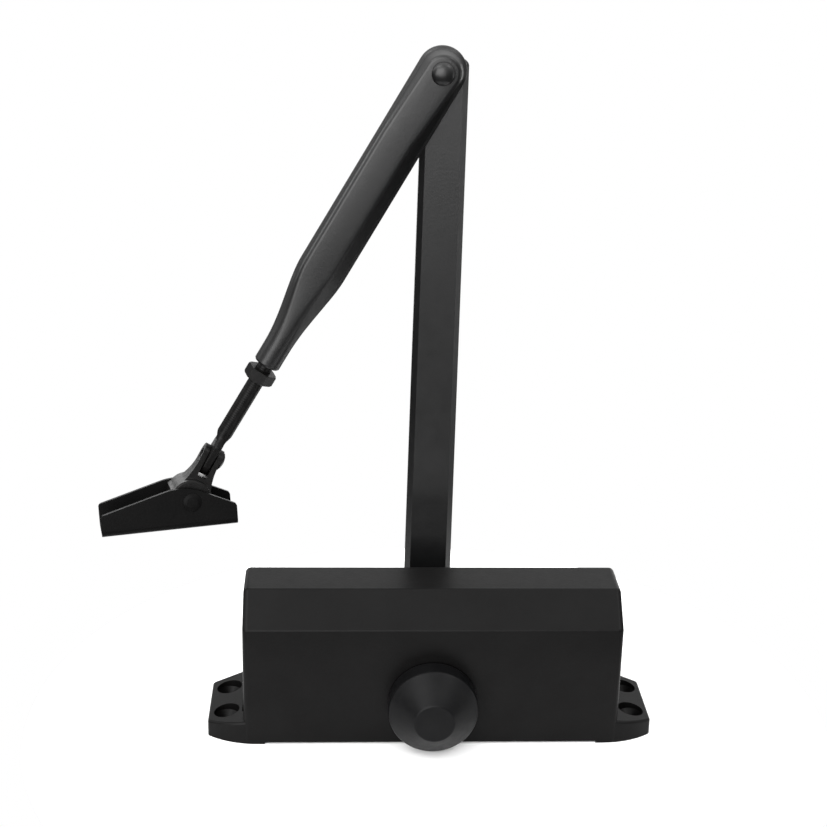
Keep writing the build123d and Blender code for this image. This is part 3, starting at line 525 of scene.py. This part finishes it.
def tongue_width(z):
    """Half width of the rod at a height: wider at the eye, and round at its end."""
    if z > WIDE_START:
        return ROD_R
    end_centre = CROSS_PIN_Z - TONGUE_REACH + TONGUE_R
    if z < end_centre:
        return max(TONGUE_TIP_HALF ** 2, TONGUE_R ** 2 - (end_centre - z) ** 2) ** 0.5
    return between(ROD_R, TONGUE_R, gentle(min(1, (WIDE_START - z) / WIDE_LENGTH)))


def tongue_thickness(z):
    """Half thickness of the rod at a height: round above, forged flat at the eye."""
    return between(ROD_R, TONGUE_HALF, gentle(flattened(z)))


def thread_ring(mesh, z):
    """The threaded rod's vertices at one height."""
    depth = THREAD_DEPTH * min(1, (z - THREAD_END) / THREAD_RUNOUT)
    ring = []
    for i in range(ROD_POINTS):
        a = 2 * pi * i / ROD_POINTS
        wave = 0.5 - 0.5 * cos(2 * pi * (z / THREAD_PITCH - i / ROD_POINTS))
        radius = ROD_R - depth * wave
        ring.append(mesh.verts.new(AT_ROD @ (Vector((radius * cos(a), radius * sin(a), z)) * MM)))
    return ring


def tongue_ring(mesh, z):
    """The forged end's vertices at one height, between an oval and a rectangle."""
    thick, wide = tongue_thickness(z), tongue_width(z)
    power = 1 - TONGUE_SQUARENESS * flattened(z)
    ring = []
    for i in range(ROD_POINTS):
        a = 2 * pi * i / ROD_POINTS
        x = copysign(thick * abs(cos(a)) ** power, cos(a))
        y = copysign(wide * abs(sin(a)) ** power, sin(a))
        ring.append(mesh.verts.new(AT_ROD @ (Vector((x, y, z)) * MM)))
    return ring


def adjusting_rod(material):
    """Rod with a rolled thread, forged flat into a round-ended eye."""
    mesh = bmesh.new()
    rings = []
    z = ROD_TOP
    while z > THREAD_END:
        rings.append(thread_ring(mesh, z))
        z -= THREAD_STEP
    bottom = CROSS_PIN_Z - TONGUE_REACH
    for k in range(TONGUE_STEPS + 1):
        share = 1 - (1 - k / TONGUE_STEPS) ** TONGUE_CROWDING
        rings.append(tongue_ring(mesh, between(THREAD_END, bottom, share)))
    for lower, upper in zip(rings, rings[1:]):
        join_rings(mesh, lower, upper)
    mesh.faces.new(rings[0])
    mesh.faces.new(rings[-1])
    new_piece("threaded_rod", mesh, "rod", material, ["adjusting_rod"])


# ---------------------------------------------------------------- the other CAD nodes

DULL_NODES = ("shoe", "shoe_pin")  # these wear shoe_paint
SOFT_EDGE_ANGLE = radians(32)  # only edges that turn more than this are softened
WELD_WITHIN = 0.002  # millimetres
SOFT_EDGES = {  # widths in millimetres
    "knuckle": 0.45,
    "shoe": 0.4,
    "main_arm": 0.25,
    "arm_screw": 0.3,
    "cross_pin": 0.2,
    "shoe_pin": 0.2,
}


def dress_nodes(materials):
    """Gives every CAD node its slot's material, and soft edges to those that show."""
    slots = {part["node"]: part["material_slot"] for part in frame["record"]["subparts"]}
    for name, node in NODES.items():
        node.data.materials.clear()
        finish = "shoe_paint" if name in DULL_NODES else slots[name]
        node.data.materials.append(materials[finish])
        if name in SOFT_EDGES:
            weld = node.modifiers.new("weld", "WELD")
            weld.merge_threshold = WELD_WITHIN * MM
            bevel = node.modifiers.new("soft_edges", "BEVEL")
            bevel.width = SOFT_EDGES[name] * MM
            bevel.segments = 2
            bevel.limit_method = "ANGLE"
            bevel.angle_limit = SOFT_EDGE_ANGLE
            node.modifiers.new("flat_faces", "WEIGHTED_NORMAL")


# ---------------------------------------------------------------- studio

FLOOR_R = 0.165  # metres; what lies beyond reflects as the dim room
ROOM = (  # (height of the direction from -1 to 1, brightness)
    (-0.10, 0.10),
    (0.15, 0.55),
    (0.50, 1.40),
    (0.90, 2.60),
)
ROOM_BRIGHTEST = max(brightness for height, brightness in ROOM)


def area_light(name, at, aim, size, radiance):
    """A soft panel of the given brightness."""
    data = bpy.data.lights.new(name, "AREA")
    data.shape = "RECTANGLE"
    data.size, data.size_y = size
    data.energy = radiance * pi * size[0] * size[1]
    light = bpy.data.objects.new(name, data)
    light.location = at
    light.rotation_euler = (Vector(aim) - Vector(at)).to_track_quat("-Z", "Y").to_euler()
    SCENE.collection.objects.link(light)


def make_world():
    """A white backdrop that reflects as a dim room with a bright ceiling."""
    world = bpy.data.worlds.new("studio")
    SCENE.world = world
    world.use_nodes = True
    tree = world.node_tree
    background = tree.nodes["Background"]
    background.inputs["Color"].default_value = (1, 1, 1, 1)
    place = tree.nodes.new("ShaderNodeTexCoord")
    split = tree.nodes.new("ShaderNodeSeparateXYZ")
    tree.links.new(place.outputs["Generated"], split.inputs["Vector"])
    ramp = tree.nodes.new("ShaderNodeValToRGB")
    while len(ramp.color_ramp.elements) < len(ROOM):
        ramp.color_ramp.elements.new(0.5)
    for stop, (height, brightness) in zip(ramp.color_ramp.elements, ROOM):
        stop.position = (height + 1) / 2
        stop.color = [brightness / ROOM_BRIGHTEST] * 3 + [1]
    tree.links.new(spread(tree, split.outputs["Z"], 0, 1, -1, 1), ramp.inputs["Fac"])
    room = spread(tree, ramp.outputs["Color"], 0, ROOM_BRIGHTEST, 0, 1)
    path = tree.nodes.new("ShaderNodeLightPath")
    mix = tree.nodes.new("ShaderNodeMix")
    tree.links.new(path.outputs["Is Camera Ray"], mix.inputs["Factor"])
    tree.links.new(room, mix.inputs["A"])
    mix.inputs["B"].default_value = 1.0
    tree.links.new(mix.outputs["Result"], background.inputs["Strength"])


def make_floor():
    """A round white table."""
    material, tree, shader = start("white_table", 0.8, 0.0)
    tone = blend_colours(tree, grain(tree, 60.0, detail=3.0), (0.76, 0.76, 0.76), (0.79, 0.79, 0.79))
    tree.links.new(tone, shader.inputs["Base Color"])
    mesh = bmesh.new()
    bmesh.ops.create_circle(mesh, cap_ends=True, segments=160, radius=FLOOR_R)
    data = bpy.data.meshes.new("floor")
    mesh.to_mesh(data)
    mesh.free()
    floor = bpy.data.objects.new("floor", data)
    data.materials.append(material)
    SCENE.collection.objects.link(floor)


def make_lights():
    """Soft panels: one big one in front, and smaller ones for the other faces."""
    area_light("front", (-0.72, -1.75, 0.69), (-0.32, 0, 0.69), (2.0, 1.6), 7.0)
    area_light("left", (-1.5, 0.25, 0.95), (0, 0, 0.15), (0.8, 0.8), 2.4)
    area_light("right", (1.5, -0.05, -0.05), (0, 0, 0.1), (0.5, 0.7), 3.0)
    area_light("upper_front", (-0.53, -0.92, 1.70), (0, 0, 0.05), (0.7, 0.7), 2.2)
    area_light("upper_left", (-1.05, -0.60, 1.62), (0, 0, 0.05), (0.7, 0.7), 7.0)
    area_light("upper_right", (1.05, -0.60, 1.62), (0, 0, 0.05), (0.6, 0.6), 6.0)
    area_light("back", (0.20, 1.75, 0.00), (0.20, 0, 0.00), (2.0, 0.7), 1.8)


# ---------------------------------------------------------------- build

make_camera()
make_world()
make_lights()
make_floor()
MATERIALS = make_materials()
dress_nodes(MATERIALS)
pinion_cap(MATERIALS["cap_plastic"])
forearm(MATERIALS["arm_paint"])
elbow_dome(MATERIALS["arm_paint"])
adjusting_rod(MATERIALS["black_steel"])
SCENE.view_settings.view_transform = "Standard"
